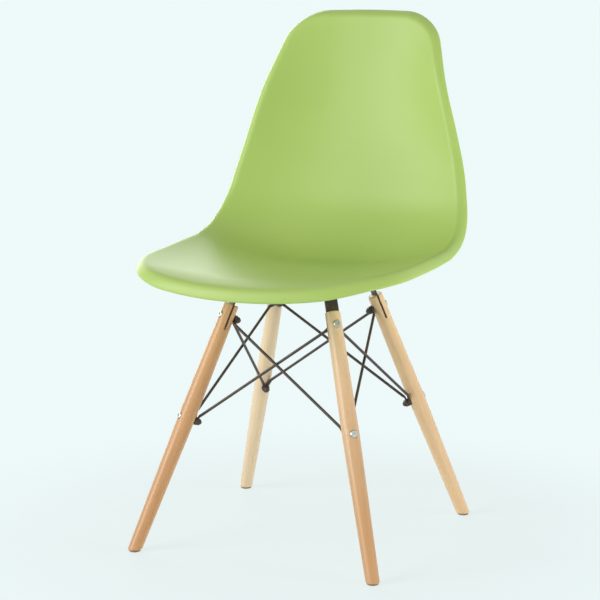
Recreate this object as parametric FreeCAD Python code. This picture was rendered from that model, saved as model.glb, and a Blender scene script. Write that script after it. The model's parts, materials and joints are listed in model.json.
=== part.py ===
import FreeCAD, Part
import math
import os

# A side chair: a moulded plastic bucket shell on four splayed beech legs, tied by crossed steel rods.
# Millimetres. +Z is up, the front faces -Y, and +X is to the right of someone who looks at the front.
# The base is square, so one corner is drawn in the plane of its leg and turned to the other three.

Vector = FreeCAD.Vector
UP = Vector(0, 0, 1)

# Seat shell: its side profile is a chain of arcs and straights from the front lip to the top of the back
lip_start_y = -238.2
lip_start_above_frame = 26.9
lip_angle = 13.2
lip_run = 57.7
seat_angle = -2.3
seat_run = 230.7
bend_run = 173.2
back_low_angle = 72.3
back_mid_angle = 78.6
back_top_angle = 79.1
back_low_run = 151.2
back_high_run = 151.2
shell_wall = 5.0

# Seat shell: half widths at named places from front to top
front_half_width = 219.3
front_taper = 4.0
seat_half_width = 224.2
hip_half_width = 220.0
waist_half_width = 203.5
back_half_width = 179.9
shoulder_half_width = 154.3
top_half_width = 130.7

# Seat shell: how far the sides stand above the middle line at the same places
front_side_rise = 22.6
seat_side_rise = 35.0
bend_side_rise = 39.7
hip_side_rise = 38.0
waist_side_rise = 34.9
back_side_rise = 45.4
top_side_rise = 18.5
side_rise_power = 2.34

# Seat shell: rounded corners of its developed outline, and the edge that rolls down all round
front_corner_length = 141.5
front_corner_width = 117.9
front_corner_sweep = 78.8
top_corner_length = 35.3
top_corner_width = 103.6
top_corner_sweep = 67.5
rolled_edge_drop = 17.3
rolled_edge_width = 12.2

# Leg, whose slot straddles the bent end of a frame bar
leg_tilt = 23.2
leg_length = 403.0
leg_foot_radius = 10.3
leg_fullest_radius = 13.2
leg_top_radius = 11.5
leg_top_chamfer = 1.4
leg_foot_chamfer = 1.2
upper_bolt_below_top = 20.0
lower_bolt_below_top = 187.0

# Nylon glide with a moulded-in nail under each foot
glide_height = 3.0
glide_radius = 9.0
glide_chamfer = 1.0
nail_head_radius = 4.0
nail_head_thickness = 1.0
nail_head_lift = 1.0
nail_radius = 1.2
nail_length = 16.0
nail_clearance = 0.1

# Frame of two crossed flat bars whose ends are bent down into the legs
bar_width = 20.0
bar_thickness = 3.0
bar_bend_radius = 9.0
arm_length_to_bend = 106.94
arm_top_above_leg_top = 28.59
slot_depth = 40.0
tab_end_clearance = 3.0
slot_clearance = 0.15
joggle_half_length = 15.0
joggle_slope_run = 6.0
joggle_bend_radius = 4.0
weld_leg = 2.4
weld_length = 16.0

# Seat fixings: rubber spacer, moulded boss, brass insert, washer and screw on each arm of the frame
screw_circle_radius = 78.0
spacer_height = 4.0
spacer_radius = 13.0
spacer_hole_radius = 4.0
boss_radius = 12.0
boss_rib_reach = 26.0
boss_rib_thickness = 3.0
boss_rib_count = 4
boss_hole_depth = 13.0
boss_search_height = 100.0
insert_radius = 4.5
insert_length = 12.0
insert_clearance = 0.05
washer_radius = 7.0
washer_thickness = 1.2
screw_radius = 3.0
screw_head_radius = 5.2
screw_head_height = 3.6
screw_head_chamfer = 0.8
screw_socket_width = 4.0
screw_socket_depth = 2.2
screw_grip_in_insert = 9.5
hole_clearance = 0.3
thread_clearance = 0.1

# Bolts through the legs, with cap nuts on the inner side
bolt_radius = 3.0
bolt_head_radius = 5.6
bolt_head_height = 2.5
bolt_head_chamfer = 0.9
bolt_head_sink = 1.5
bolt_seat_radius = 6.4
bolt_socket_width = 4.0
bolt_socket_depth = 1.6
bolt_hole_clearance = 0.15
cap_nut_width = 10.0
cap_nut_hex_height = 4.2
cap_nut_chamfer = 0.2
cap_nut_dome_radius = 4.6
cap_nut_dome_shoulder = 3.3
cap_nut_dome_tip = 1.6
cap_nut_dome_low_height = 2.2
cap_nut_dome_high_height = 1.2
cap_nut_thread_depth = 5.5

# Cross-brace rods with flattened, bent eyes
rod_radius = 2.25
eye_radius = 6.2
eye_thickness = 2.2
eye_hole_clearance = 0.2
eye_gap_to_leg = 0.2
neck_half_width = 3.3
neck_half_thickness = 1.05
neck_start = 3.0
knee_length = 3.0
outer_rod_upper_knee = 16.2
outer_rod_lower_knee = 16.2
inner_rod_upper_knee = 9.5
inner_rod_lower_knee = 9.5

# Points that carry the shell's curved faces: a middle patch, a band round it and the rolled edge
end_edge_steps = 4
corner_steps = 3
side_steps = 10
band_steps = 3
roll_steps = 4
roll_crowding = 1.5
patch_share_of_width = 0.72
patch_front_margin = 60.0
patch_top_margin = 45.0
patch_row_evenness = 0.7
normal_step = 0.5
width_lead_in = 80.0
width_run_out = 60.0
rise_lead_in = 60.0
front_rise_fade = 0.6
hip_share_of_bend = 0.46
waist_share = 0.30
back_share = 0.55
shoulder_share = 0.78
waist_rise_share = 0.35
back_rise_share = 0.70
seat_rise_share = 0.60
bend_rise_share = 0.80

# Worked out from the sizes above
tilt = math.radians(leg_tilt)
leg_up = Vector(-math.sin(tilt), 0, math.cos(tilt))
leg_out = Vector(math.cos(tilt), 0, math.sin(tilt))
arm_top_z = glide_height + leg_length * math.cos(tilt) + arm_top_above_leg_top
arm_middle_z = arm_top_z - bar_thickness / 2
lip_start_z = arm_top_z + lip_start_above_frame
foot_radius_on_floor = arm_length_to_bend + arm_middle_z * math.tan(tilt)
floor_point = Vector(foot_radius_on_floor, 0, 0)
foot_centre_x = foot_radius_on_floor - glide_height * math.tan(tilt)
axis_length_to_top = glide_height / math.cos(tilt) + leg_length
leg_top_point = floor_point + leg_up * axis_length_to_top
upper_bolt_point = leg_top_point - leg_up * upper_bolt_below_top
lower_bolt_point = leg_top_point - leg_up * lower_bolt_below_top
boss_bottom_z = arm_top_z + spacer_height
corner_names = ("front_right", "rear_right", "rear_left", "front_left")
corner_turns = (-45, 45, 135, 225)
side_names = ("right", "rear", "left", "front")


def unit(vector):
    """A copy of the vector, one millimetre long."""
    return vector * (1 / vector.Length)


def turned(shape, degrees):
    """A copy of the shape turned about the chair's upright axis."""
    copy = shape.copy()
    copy.rotate(Vector(0, 0, 0), UP, degrees)
    return copy


def around(shape):
    """The shape at all four corners of the base, as one group of separate solids."""
    return Part.makeCompound([turned(shape, turn) for turn in corner_turns])


def smooth_through(stations):
    """A function of one place that runs through (place, value) stations without overshooting them."""
    places = [place for place, value in stations]
    values = [value for place, value in stations]
    gaps = [b - a for a, b in zip(places, places[1:])]
    slopes = [(b - a) / gap for a, b, gap in zip(values, values[1:], gaps)]
    tangents = [slopes[0]]
    for left, right, gap_left, gap_right in zip(slopes, slopes[1:], gaps, gaps[1:]):
        if left * right <= 0:
            tangents.append(0.0)
        else:
            heavy_left = 2 * gap_right + gap_left
            heavy_right = gap_right + 2 * gap_left
            tangents.append((heavy_left + heavy_right) / (heavy_left / left + heavy_right / right))
    tangents.append(slopes[-1])

    def value_at(place):
        index = 0
        while index < len(gaps) - 1 and place > places[index + 1]:
            index += 1
        gap = gaps[index]
        t = (place - places[index]) / gap
        low, high = values[index], values[index + 1]
        rise = (3 - 2 * t) * t * t
        return (low + (high - low) * rise
                + gap * tangents[index] * t * (1 - t) ** 2
                - gap * tangents[index + 1] * (1 - t) * t * t)

    return value_at


# The shell's side profile

profile_runs = (lip_run, seat_run, bend_run, back_low_run, back_high_run)
profile_angles = (lip_angle, seat_angle, seat_angle, back_low_angle, back_mid_angle, back_top_angle)
profile_length = sum(profile_runs)


def profile_at(place):
    """Point and tangent angle at a developed distance along the side profile."""
    y, z = lip_start_y, lip_start_z
    left = place
    for index, run in enumerate(profile_runs):
        start = math.radians(profile_angles[index])
        bend = (math.radians(profile_angles[index + 1]) - start) / run
        last = index == len(profile_runs) - 1
        step = left if last else min(left, run)
        angle = start + bend * step
        if abs(bend) < 1e-9:
            y += step * math.cos(start)
            z += step * math.sin(start)
        else:
            y += (math.sin(angle) - math.sin(start)) / bend
            z -= (math.cos(angle) - math.cos(start)) / bend
        left -= step
        if left <= 0:
            break
    return y, z, angle


# The shell's widths and side rises along the profile

hip_place = lip_run + seat_run + hip_share_of_bend * bend_run
top_corner_place = profile_length - top_corner_length
upper_span = top_corner_place - hip_place
front_span = hip_place - front_corner_length
shoulder_place = hip_place + shoulder_share * upper_span
top_taper = (shoulder_half_width - top_half_width) / (top_corner_place - shoulder_place)

half_width_at = smooth_through((
    (-width_lead_in, front_half_width - front_taper),
    (front_corner_length, front_half_width),
    (front_corner_length + front_span / 2, seat_half_width),
    (hip_place, hip_half_width),
    (hip_place + waist_share * upper_span, waist_half_width),
    (hip_place + back_share * upper_span, back_half_width),
    (shoulder_place, shoulder_half_width),
    (top_corner_place, top_half_width),
    (profile_length + width_run_out, top_half_width - top_taper * (top_corner_length + width_run_out)),
))
side_rise_at = smooth_through((
    (-rise_lead_in, front_side_rise * front_rise_fade),
    (front_corner_length, front_side_rise),
    (front_corner_length + seat_rise_share * front_span, seat_side_rise),
    (front_corner_length + bend_rise_share * front_span, bend_side_rise),
    (hip_place, hip_side_rise),
    (hip_place + waist_rise_share * upper_span, waist_side_rise),
    (hip_place + back_rise_share * upper_span, back_side_rise),
    (profile_length, top_side_rise),
    (profile_length + width_run_out, top_side_rise),
))


def sheet_point(place, x):
    """Point on the sitting side before its edge rolls down: the profile, raised towards the sides."""
    y, z, angle = profile_at(place)
    rise = side_rise_at(place) * abs(x / half_width_at(place)) ** side_rise_power
    return Vector(x, y - math.sin(angle) * rise, z + math.cos(angle) * rise)


def sheet_normal(place, x):
    """Direction square to the sheet, away from its underside."""
    across = sheet_point(place, x + normal_step) - sheet_point(place, x - normal_step)
    along = sheet_point(place + normal_step, x) - sheet_point(place - normal_step, x)
    return unit(across.cross(along))


def underside_point(place, x):
    return sheet_point(place, x) - sheet_normal(place, x) * shell_wall


def fall_direction(place):
    """The way in which the edge rolls down, square to the profile."""
    angle = profile_at(place)[2]
    return Vector(0, math.sin(angle), -math.cos(angle))


# The shell's developed outline, taken where the edge starts to roll down

def inner_half_width(place):
    return half_width_at(place) - rolled_edge_width


class End:
    """The front or the top of the outline: a crowned edge between two round corners."""

    def __init__(self, corner_length, corner_width, corner_sweep, at_top):
        self.length = corner_length - rolled_edge_width
        self.width = corner_width - rolled_edge_width
        self.sweep = math.radians(corner_sweep)
        self.at_top = at_top
        self.edge_half_width = self.corner(0)[1]
        self.crown = self.length / self.width * self.edge_half_width / (2 * math.tan(self.sweep))

    def place(self, inward):
        """Place along the profile at a distance in from the end edge's corners."""
        distance = rolled_edge_width + inward
        return profile_length - distance if self.at_top else distance

    def corner(self, share):
        """Outline point at a share of the way round the corner, from the end edge to the side."""
        angle = self.sweep * (1 - share)
        place = self.place(self.length * (1 - math.sin(angle) / math.sin(self.sweep)))
        return place, inner_half_width(place) - self.width * (1 - math.cos(angle))

    def edge(self, share):
        """Outline point at a share of the way from the middle of the end edge to its corner."""
        return self.place(-self.crown * (1 - share * share)), self.edge_half_width * share

    def half(self):
        """Outline from the middle of the end edge to halfway round its corner."""
        points = [self.edge(index / end_edge_steps) for index in range(end_edge_steps)]
        return points + [self.corner(index / corner_steps / 2) for index in range(corner_steps + 1)]

    def rest(self):
        """Outline from halfway round the corner to just before the side."""
        return [self.corner(0.5 + index / corner_steps / 2) for index in range(corner_steps)]

    def last_step(self):
        """Length of the last step round the corner, so that the side's steps can start alike."""
        return math.dist(self.corner(1), self.corner(1 - 1 / corner_steps / 2))


def graded(start, end, steps, first, last):
    """Places from start to end whose steps begin at one length and end at another."""
    places = []
    for index in range(steps + 1):
        t = index / steps
        places.append(start + (end - start) * (3 - 2 * t) * t * t
                      + steps * (first * t * (1 - t) ** 2 - last * (1 - t) * t * t))
    return places


def mirrored(points):
    return [(place, -x) for place, x in points]


def outline_sides(front, top):
    """The outline's four sides, each from halfway round one corner to halfway round the next."""
    side = [(place, inner_half_width(place))
            for place in graded(front.corner(1)[0], top.corner(1)[0], side_steps,
                                front.last_step(), top.last_step())]
    right = front.rest() + side + top.rest()[::-1]
    front_half, top_half = front.half(), top.half()
    return (mirrored(front_half)[:0:-1] + front_half,
            right,
            top_half[::-1] + mirrored(top_half)[1:],
            mirrored(right)[::-1])


def middle_patch(front, top, rows, columns):
    """Rows of points of a patch with square corners, well inside the outline."""
    start = front.corner(0.5)[0] + patch_front_margin
    end = top.corner(0.5)[0] - patch_top_margin
    step = (end - start) / rows * patch_row_evenness
    net = []
    for place in graded(start, end, rows, step, step):
        half = inner_half_width(place) * patch_share_of_width
        net.append([(place, half * (2 * index / columns - 1)) for index in range(columns + 1)])
    return net


def patch_sides(net):
    """The patch's four sides, in the order of the outline's."""
    return net[0], [row[-1] for row in net], net[-1][::-1], [row[0] for row in net][::-1]


def outward_directions(sides):
    """For each side, the directions that point straight out of the developed outline at its points."""
    loop = [point for side in sides for point in side[:-1]]
    directions = []
    for index, point in enumerate(loop):
        before, after = loop[index - 1], loop[(index + 1) % len(loop)]
        back, ahead = math.dist(point, before), math.dist(after, point)
        along = [(p - b) * ahead / back + (a - p) * back / ahead for b, p, a in zip(before, point, after)]
        length = math.hypot(*along)
        directions.append((-along[1] / length, along[0] / length))
    directions.append(directions[0])
    starts = [0]
    for side in sides:
        starts.append(starts[-1] + len(side) - 1)
    return [directions[start:end + 1] for start, end in zip(starts, starts[1:])]


# The shell's faces

def spline_edge(points):
    curve = Part.BSplineCurve()
    curve.interpolate(Points=points, Parameters=[float(index) for index in range(len(points))])
    return curve


def through(points):
    """Poles of the cubic curve that passes through the points at whole-number parameters."""
    return spline_edge(points).getPoles()


def net_face(points):
    """Curved face through a net of points, rows first."""
    rows = [through(row) for row in points]
    columns = [through(list(column)) for column in zip(*rows)]
    poles = [list(row) for row in zip(*columns)]
    row_count, column_count = len(points), len(points[0])
    surface = Part.BSplineSurface()
    surface.buildFromPolesMultsKnots(poles, end_mults(row_count), end_mults(column_count),
                                     [float(index) for index in range(row_count)],
                                     [float(index) for index in range(column_count)],
                                     False, False, 3, 3)
    return surface.toShape()


def end_mults(count):
    """Knot multiplicities of a cubic spline that starts and ends on its outer poles."""
    return [4] + [1] * (count - 2) + [4]


def ruled_faces(rows):
    """Ruled faces between each row of points and the next."""
    edges = [spline_edge(row).toShape() for row in rows]
    return [Part.makeRuledSurface(near, far) for near, far in zip(edges, edges[1:])]


def between(near, far, share):
    return [(a + (c - a) * share, b + (d - b) * share) for (a, b), (c, d) in zip(near, far)]


def sheet_faces(sides, patch, point_at, reach, fall):
    """Faces of one side of the wall, and its outer edge as four rows of points."""
    faces = [net_face([[point_at(*point) for point in row] for row in patch])]
    rims = []
    for side, inner, ways in zip(sides, patch_sides(patch), outward_directions(sides)):
        band = [[point_at(*point) for point in between(inner, side, step / band_steps)]
                for step in range(band_steps + 1)]
        faces.append(net_face(band))
        roll = []
        for step in range(roll_steps + 1):
            share = (step / roll_steps) ** roll_crowding
            out = [(place + way[0] * reach * share, x + way[1] * reach * share)
                   for (place, x), way in zip(side, ways)]
            roll.append([point_at(*point) + fall_direction(start[0]) * (fall * share * share)
                         for point, start in zip(out, side)])
        faces += ruled_faces(roll)
        rims.append(roll[-1])
    return faces, rims


def moulding():
    """The shell's wall: sitting side and underside a wall apart, both rolled down, and the rim between."""
    front = End(front_corner_length, front_corner_width, front_corner_sweep, False)
    top = End(top_corner_length, top_corner_width, top_corner_sweep, True)
    sides = outline_sides(front, top)
    patch = middle_patch(front, top, len(sides[1]) - 1, len(sides[0]) - 1)
    rim_slope = math.atan2(2 * rolled_edge_drop, rolled_edge_width)
    upper, upper_rims = sheet_faces(sides, patch, sheet_point, rolled_edge_width, rolled_edge_drop)
    lower, lower_rims = sheet_faces(sides, patch, underside_point,
                                    rolled_edge_width - shell_wall * math.sin(rim_slope),
                                    rolled_edge_drop - shell_wall * (1 - math.cos(rim_slope)))
    faces = upper + lower
    for near, far in zip(upper_rims, lower_rims):
        faces += ruled_faces([near, far])
    return solid_of(faces)


def solid_of(faces):
    """Solid inside a closed set of faces."""
    shell = Part.Shell(faces)
    shell.sewShape()
    solid = Part.Solid(shell)
    if solid.Volume < 0:
        solid.reverse()
    return solid


def underside_at(shell, x, y):
    """Height of the shell's underside above a point of the floor."""
    line = Part.makeLine(Vector(x, y, boss_bottom_z), Vector(x, y, boss_bottom_z + boss_search_height))
    return line.common(shell).BoundBox.ZMin


def boss(shell, turn):
    """Ribbed boss moulded under the shell, reaching half a wall into it."""
    centre = turned(Part.Vertex(screw_circle_radius, 0, 0), turn).Point
    sunk = shell_wall / 2
    top_z = underside_at(shell, centre.x, centre.y) + sunk
    body = Part.makeCylinder(boss_radius, top_z - boss_bottom_z, Vector(centre.x, centre.y, boss_bottom_z))
    for index in range(boss_rib_count):
        angle = math.radians(turn + 45 + 360 * index / boss_rib_count)
        way = Vector(math.cos(angle), math.sin(angle), 0)
        inner = centre + way * (boss_radius - boss_rib_thickness)
        outer = centre + way * boss_rib_reach
        high_in = underside_at(shell, inner.x, inner.y) + sunk
        high_out = underside_at(shell, outer.x, outer.y) + sunk
        sketch = Part.makePolygon([
            Vector(inner.x, inner.y, boss_bottom_z + boss_rib_thickness),
            Vector(inner.x, inner.y, high_in),
            Vector(outer.x, outer.y, high_out),
            Vector(outer.x, outer.y, high_out - shell_wall),
            Vector(inner.x, inner.y, boss_bottom_z + boss_rib_thickness),
        ])
        side = way.cross(UP)
        rib = Part.Face(sketch).extrude(side * boss_rib_thickness)
        rib.translate(side * (-boss_rib_thickness / 2))
        body = body.fuse(rib)
    return body


def seat_shell():
    """The moulding with its four bosses and their blind holes."""
    shell = moulding()
    bosses = [boss(shell, turn) for turn in corner_turns]
    shell = shell.fuse(bosses)
    hole = Part.makeCylinder(insert_radius, boss_hole_depth, Vector(screw_circle_radius, 0, boss_bottom_z))
    return shell.cut([turned(hole, turn) for turn in corner_turns])


# Frame bars

def bent_edges(corners, radii):
    """Straight edges through the corner points, with a tangent arc of the given radius at each."""
    edges = []
    start = corners[0]
    for before, corner, after, radius in zip(corners, corners[1:], corners[2:], radii):
        back = unit(before - corner)
        on = unit(after - corner)
        half_turn = (math.pi - back.getAngle(on)) / 2
        reach = radius * math.tan(half_turn)
        middle = corner + unit(back + on) * (radius / math.cos(half_turn) - radius)
        edges.append(Part.LineSegment(start, corner + back * reach).toShape())
        edges.append(Part.Arc(corner + back * reach, middle, corner + on * reach).toShape())
        start = corner + on * reach
    edges.append(Part.LineSegment(start, corners[-1]).toShape())
    return edges


def beside(corners, radii, distance):
    """The same bent line a distance to its left, with each bend about the same centre."""
    lines = [unit(b - a) for a, b in zip(corners, corners[1:])]
    lefts = [Vector(-line.z, 0, line.x) for line in lines]
    points = [corners[0] + lefts[0] * distance]
    shifted = []
    for corner, left, right, line, radius in zip(corners[1:], lefts, lefts[1:], lines, radii):
        points.append(corner + (left + right) * (distance / (1 + left.dot(right))))
        away = math.copysign(1, line.dot(right))
        shifted.append(radius + distance * away)
    points.append(corners[-1] + lefts[-1] * distance)
    return points, shifted


def flat_bar(corners, radii):
    """Flat bar of the frame, bent along a line in the plane of two opposite legs."""
    near, near_radii = beside(corners, radii, bar_thickness / 2)
    far, far_radii = beside(corners, radii, -bar_thickness / 2)
    edges = bent_edges(near, near_radii)
    edges.append(Part.LineSegment(near[-1], far[-1]).toShape())
    edges += bent_edges(far[::-1], far_radii[::-1])
    edges.append(Part.LineSegment(far[0], near[0]).toShape())
    outline = Part.Wire(Part.__sortEdges__(edges))
    bar = Part.Face(outline).extrude(Vector(0, bar_width, 0))
    bar.translate(Vector(0, -bar_width / 2, 0))
    return bar


def frame_bar(joggled):
    """One bar of the crossed frame, with bolt holes in its tabs and screw holes in its arms."""
    tab_end = leg_top_point - leg_up * (slot_depth - tab_end_clearance)
    half = [tab_end, Vector(arm_length_to_bend, 0, arm_middle_z)]
    half_radii = [bar_bend_radius]
    if joggled:
        dropped_z = arm_middle_z - bar_thickness
        half.append(Vector(joggle_half_length + joggle_slope_run, 0, arm_middle_z))
        half.append(Vector(joggle_half_length, 0, dropped_z))
        half_radii += [joggle_bend_radius, joggle_bend_radius]
    mirrored = [Vector(-point.x, 0, point.z) for point in reversed(half)]
    bar = flat_bar(half + mirrored, half_radii + half_radii[::-1])
    screw_hole = Part.makeCylinder(screw_radius + hole_clearance, 2 * bar_thickness,
                                   Vector(screw_circle_radius, 0, arm_middle_z - bar_thickness))
    tab_hole = Part.makeCylinder(bolt_radius + hole_clearance, 2 * bar_thickness,
                                 upper_bolt_point - leg_out * bar_thickness, leg_out)
    for hole in (screw_hole, tab_hole):
        bar = bar.cut([hole, turned(hole, 180)])
    return bar


def crossing_welds():
    """Two fillet beads on the joggled bar, one along each side of the bar that crosses over it."""
    side = bar_width / 2
    bottom_z = arm_top_z - bar_thickness
    sketch = Part.makePolygon([
        Vector(side, -weld_length / 2, bottom_z),
        Vector(side + weld_leg, -weld_length / 2, bottom_z),
        Vector(side, -weld_length / 2, bottom_z + weld_leg),
        Vector(side, -weld_length / 2, bottom_z),
    ])
    bead = Part.Face(sketch).extrude(Vector(0, weld_length, 0))
    return Part.makeCompound([turned(bead, corner_turns[0]), turned(bead, corner_turns[0] + 180)])


# Seat fixings on one arm

def ring(outer, inner, height, x, z):
    body = Part.makeCylinder(outer, height, Vector(x, 0, z))
    return body.cut(Part.makeCylinder(inner, height, Vector(x, 0, z)))


def hexagon(width, height, base, axis):
    """Hexagonal prism, given its width across flats."""
    across = width / math.sqrt(3)
    points = []
    for index in range(7):
        angle = math.radians(60 * index + 30)
        points.append(Vector(across * math.cos(angle), across * math.sin(angle), 0))
    prism = Part.Face(Part.makePolygon(points)).extrude(Vector(0, 0, height))
    prism.Placement = FreeCAD.Placement(base, FreeCAD.Rotation(UP, axis))
    return prism


def seat_spacer():
    return ring(spacer_radius, spacer_hole_radius, spacer_height, screw_circle_radius, arm_top_z)


def shell_insert():
    return ring(insert_radius - insert_clearance, screw_radius + thread_clearance, insert_length,
                screw_circle_radius, boss_bottom_z)


def screw_washer():
    return ring(washer_radius, screw_radius + hole_clearance, washer_thickness,
                screw_circle_radius, arm_top_z - bar_thickness - washer_thickness)


def seat_screw():
    """Socket-head screw driven up through the arm and the spacer into the insert."""
    head_top = arm_top_z - bar_thickness - washer_thickness
    head_bottom = head_top - screw_head_height
    tip = boss_bottom_z + screw_grip_in_insert
    base = Vector(screw_circle_radius, 0, head_bottom)
    head = Part.makeCylinder(screw_head_radius, screw_head_height, base)
    head = head.makeChamfer(screw_head_chamfer, [edge for edge in head.Edges
                                                 if edge.BoundBox.ZMax < head_bottom + 0.01])
    shank = Part.makeCylinder(screw_radius, tip - head_bottom, base)
    socket = hexagon(screw_socket_width, screw_socket_depth, base, UP)
    return head.fuse(shank).cut(socket).removeSplitter()


# One leg with its hardware, in the plane y = 0 with its foot towards +X

def leg_radius(below_top):
    """Radius at a distance below the leg's top: fullest at the lower bolt, tapering both ways."""
    if below_top < lower_bolt_below_top:
        share = 1 - below_top / lower_bolt_below_top
        return leg_fullest_radius - (leg_fullest_radius - leg_top_radius) * share
    share = (below_top - lower_bolt_below_top) / (axis_length_to_top - lower_bolt_below_top)
    return leg_fullest_radius - (leg_fullest_radius - leg_foot_radius) * share


def leg():
    """Turned leg: slim at the foot, fullest at the lower bolt, slotted at the top for the frame's tab."""
    end = axis_length_to_top + leg_foot_radius
    outline = Part.makePolygon([
        Vector(0, 0, 0),
        Vector(leg_top_radius - leg_top_chamfer, 0, 0),
        Vector(leg_radius(leg_top_chamfer), 0, -leg_top_chamfer),
        Vector(leg_fullest_radius, 0, -lower_bolt_below_top),
        Vector(leg_radius(end), 0, -end),
        Vector(0, 0, -end),
        Vector(0, 0, 0),
    ])
    body = Part.Face(outline).revolve(Vector(0, 0, 0), UP, 360)
    body.Placement = FreeCAD.Placement(leg_top_point, FreeCAD.Rotation(UP, leg_up))
    span = 4 * leg_fullest_radius
    below = Part.makeBox(span, span, span, Vector(foot_centre_x - span / 2, -span / 2, glide_height - span))
    body = body.cut(below)
    sole = [edge for edge in body.Edges if edge.BoundBox.ZMax < glide_height + 0.01]
    body = body.makeChamfer(leg_foot_chamfer, sole)
    return body.cut(leg_cuts())


def leg_cuts():
    """Slot, bolt holes, seats of the bolt heads and nail hole of one leg."""
    slot_thickness = bar_thickness + 2 * slot_clearance
    slot = Part.makeBox(slot_thickness, 4 * leg_top_radius, slot_depth + 1,
                        Vector(-slot_thickness / 2, -2 * leg_top_radius, -slot_depth))
    slot.Placement = FreeCAD.Placement(leg_top_point, FreeCAD.Rotation(UP, leg_up)).multiply(slot.Placement)
    cuts = [slot]
    for below_top in (upper_bolt_below_top, lower_bolt_below_top):
        point = leg_top_point - leg_up * below_top
        radius = leg_radius(below_top)
        cuts.append(Part.makeCylinder(bolt_radius + bolt_hole_clearance, 4 * radius,
                                      point - leg_out * (2 * radius), leg_out))
        cuts.append(Part.makeCylinder(bolt_seat_radius, radius,
                                      point + leg_out * (radius - bolt_head_sink), leg_out))
    cuts.append(Part.makeCylinder(nail_radius + nail_clearance, nail_length,
                                  Vector(foot_centre_x, 0, glide_height)))
    return cuts


def foot_glide():
    """Nylon button under the foot, moulded round the head of its nail."""
    body = Part.makeCylinder(glide_radius, glide_height, Vector(foot_centre_x, 0, 0))
    body = body.makeChamfer(glide_chamfer, [edge for edge in body.Edges if edge.BoundBox.ZMax < 0.01])
    return body.cut(glide_nail())


def glide_nail():
    head = Part.makeCylinder(nail_head_radius, nail_head_thickness, Vector(foot_centre_x, 0, nail_head_lift))
    shank = Part.makeCylinder(nail_radius, nail_length, Vector(foot_centre_x, 0, nail_head_lift))
    return head.fuse(shank)


def inner_face_offset(radius):
    """Distance from the leg's axis to the inner face of the stack of two eyes."""
    return radius + eye_gap_to_leg + 2 * eye_thickness


def leg_bolt(point, radius):
    """Low-headed socket bolt through the leg and the two eyes into the cap nut."""
    seat = point + leg_out * (radius - bolt_head_sink)
    head = Part.makeCylinder(bolt_head_radius, bolt_head_height, Vector(0, 0, 0))
    head = head.makeChamfer(bolt_head_chamfer, [edge for edge in head.Edges
                                                if edge.BoundBox.ZMin > bolt_head_height - 0.01])
    grip = radius - bolt_head_sink + inner_face_offset(radius)
    shank_length = grip + cap_nut_thread_depth - thread_clearance
    shank = Part.makeCylinder(bolt_radius, shank_length, Vector(0, 0, -shank_length))
    socket_floor = Vector(0, 0, bolt_head_height - bolt_socket_depth)
    socket = hexagon(bolt_socket_width, bolt_socket_depth, socket_floor, UP)
    bolt = head.fuse(shank).cut(socket)
    bolt.Placement = FreeCAD.Placement(seat, FreeCAD.Rotation(UP, leg_out))
    return bolt


def cap_nut(point, radius):
    """Domed cap nut on the inner side of the leg."""
    seat = point - leg_out * inner_face_offset(radius)
    body = hexagon(cap_nut_width, cap_nut_hex_height, Vector(0, 0, 0), UP)
    chamfer = Part.makeCone(cap_nut_width / 2 + cap_nut_hex_height, cap_nut_width / 2 - cap_nut_chamfer,
                            cap_nut_hex_height + cap_nut_chamfer, Vector(0, 0, 0))
    low = Part.makeCone(cap_nut_dome_radius, cap_nut_dome_shoulder, cap_nut_dome_low_height,
                        Vector(0, 0, cap_nut_hex_height))
    high = Part.makeCone(cap_nut_dome_shoulder, cap_nut_dome_tip, cap_nut_dome_high_height,
                         Vector(0, 0, cap_nut_hex_height + cap_nut_dome_low_height))
    dome = low.fuse(high)
    thread = Part.makeCylinder(bolt_radius + thread_clearance, cap_nut_thread_depth)
    nut = body.common(chamfer).fuse(dome).cut(thread)
    nut.Placement = FreeCAD.Placement(seat, FreeCAD.Rotation(UP, leg_out * -1))
    return nut


# Cross braces

def at_corner(vector, turn):
    return FreeCAD.Rotation(UP, turn).multVec(vector)


def oval(centre, normal, wide, half_width, half_thickness):
    """Closed oval wire in the plane square to normal, with its long axis along wide."""
    across = unit(wide - normal * wide.dot(normal))
    thin = unit(normal.cross(across))
    if half_width == half_thickness:
        curve = Part.Circle(centre, normal, half_width)
        curve.XAxis = across
    else:
        curve = Part.Ellipse(centre + across * half_width, centre + thin * half_thickness, centre)
    return Part.Wire(curve.toShape())


class Eye:
    """One end of a rod: where its eye sits on a leg bolt, and where the rod's knee is."""

    def __init__(self, point, radius, turn, layer, knee):
        offset = radius + eye_gap_to_leg + (layer + 0.5) * eye_thickness
        self.normal = at_corner(leg_out, turn)
        self.centre = at_corner(point - leg_out * offset, turn)
        self.knee_distance = knee

    def aim(self, other):
        run = other.centre - self.centre
        self.along = unit(run - self.normal * run.dot(self.normal))
        self.wide = self.normal.cross(self.along)
        self.knee = self.centre + self.along * self.knee_distance

    def flattened_end(self, rod_way):
        """Eye, flat neck and knee, swelling into the round rod."""
        disc = Part.makeCylinder(eye_radius, eye_thickness,
                                 self.centre - self.normal * (eye_thickness / 2), self.normal)
        sections = [
            oval(self.centre + self.along * neck_start, self.along, self.wide,
                 neck_half_width, neck_half_thickness),
            oval(self.knee - self.along * knee_length, self.along, self.wide,
                 neck_half_width, neck_half_thickness),
            oval(self.knee, unit(self.along + rod_way), self.wide,
                 (neck_half_width + rod_radius) / 2, (neck_half_thickness + rod_radius) / 2),
            oval(self.knee + rod_way * knee_length, rod_way, self.wide, rod_radius, rod_radius),
        ]
        return [disc, Part.makeLoft(sections, True, True)]

    def bolt_hole(self):
        return Part.makeCylinder(bolt_radius + eye_hole_clearance, 2 * eye_thickness,
                                 self.centre - self.normal * eye_thickness, self.normal)


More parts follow.
